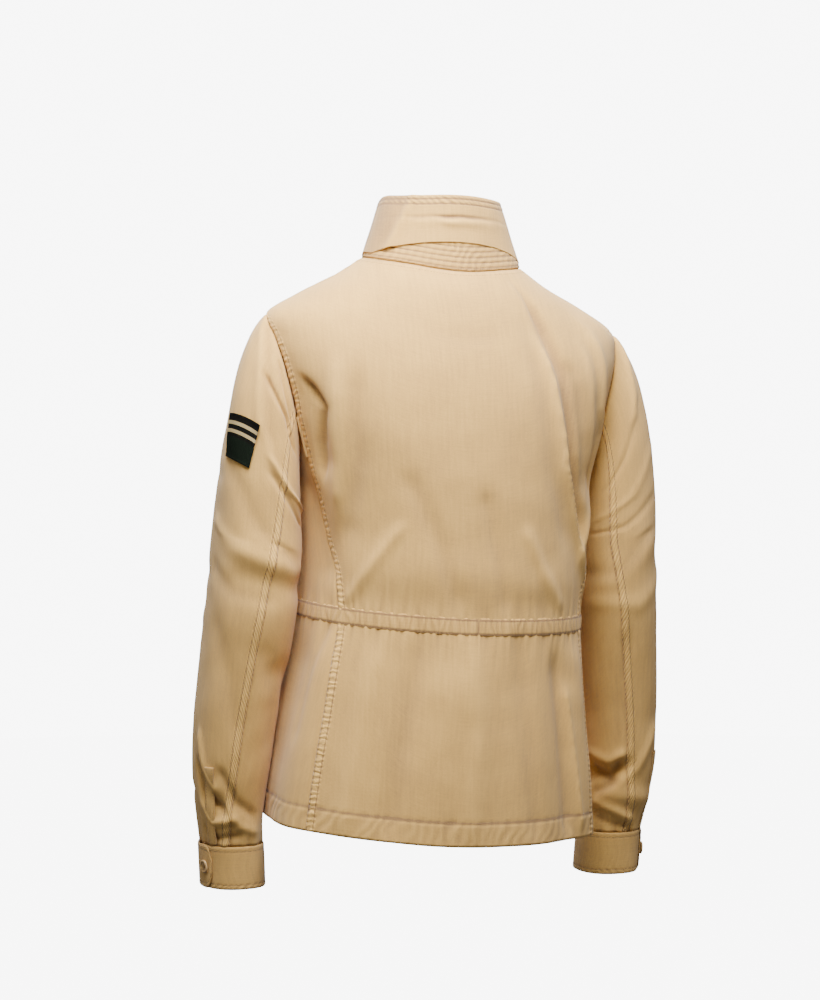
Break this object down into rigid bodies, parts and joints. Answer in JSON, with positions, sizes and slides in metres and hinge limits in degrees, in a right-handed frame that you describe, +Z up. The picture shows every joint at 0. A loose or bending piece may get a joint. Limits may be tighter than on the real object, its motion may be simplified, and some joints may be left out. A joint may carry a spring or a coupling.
{
  "type": "field jacket",
  "caption": "Women's cotton field jacket in its worn form, empty: stand collar, gathered waist casing, two-piece sleeves, buttoned cuffs and flap pockets.",
  "frame": {"origin": "middle of the neck opening, level with the neck seam at the centre back, where the wearer's neck and shoulders hold the jacket", "axes": "+Z up along the wearer's body, -Y towards the wearer's front, +X towards the wearer's left"},
  "size_m": [0.5493, 0.281, 0.7848],
  "materials": {
    "cotton_canvas": "washed tan cotton canvas",
    "cotton_casing": "gathered tan cotton canvas",
    "button_resin": "satin",
    "patch_twill": "dark woven twill"
  },
  "bodies": {
    "root": {"back": "cotton_canvas", "chest_pocket_L": "cotton_canvas", "chest_pocket_R": "cotton_canvas", "chest_pocket_button_L": "button_resin", "chest_pocket_button_R": "button_resin", "chest_pocket_flap_L": "cotton_canvas", "chest_pocket_flap_R": "cotton_canvas", "collar_leaf": "cotton_canvas", "collar_stand": "cotton_canvas", "cuff_L": "cotton_canvas", "cuff_R": "cotton_canvas", "cuff_button_L": "button_resin", "cuff_button_R": "button_resin", "fly_button_1": "button_resin", "fly_button_2": "button_resin", "fly_button_3": "button_resin", "fly_button_4": "button_resin", "fly_button_5": "button_resin", "fly_button_6": "button_resin", "front_L": "cotton_canvas", "front_R": "cotton_canvas", "front_fly": "cotton_canvas", "hip_pocket_L": "cotton_canvas", "hip_pocket_R": "cotton_canvas", "hip_pocket_button_L": "button_resin", "hip_pocket_button_R": "button_resin", "hip_pocket_flap_L": "cotton_canvas", "hip_pocket_flap_R": "cotton_canvas", "side_L": "cotton_canvas", "side_R": "cotton_canvas", "sleeve_patch": "patch_twill", "sleeve_placket_L": "cotton_canvas", "sleeve_placket_R": "cotton_canvas", "sleeve_top_L": "cotton_canvas", "sleeve_top_R": "cotton_canvas", "sleeve_under_L": "cotton_canvas", "sleeve_under_R": "cotton_canvas", "waist_casing": "cotton_casing"}
  },
  "joints": []
}
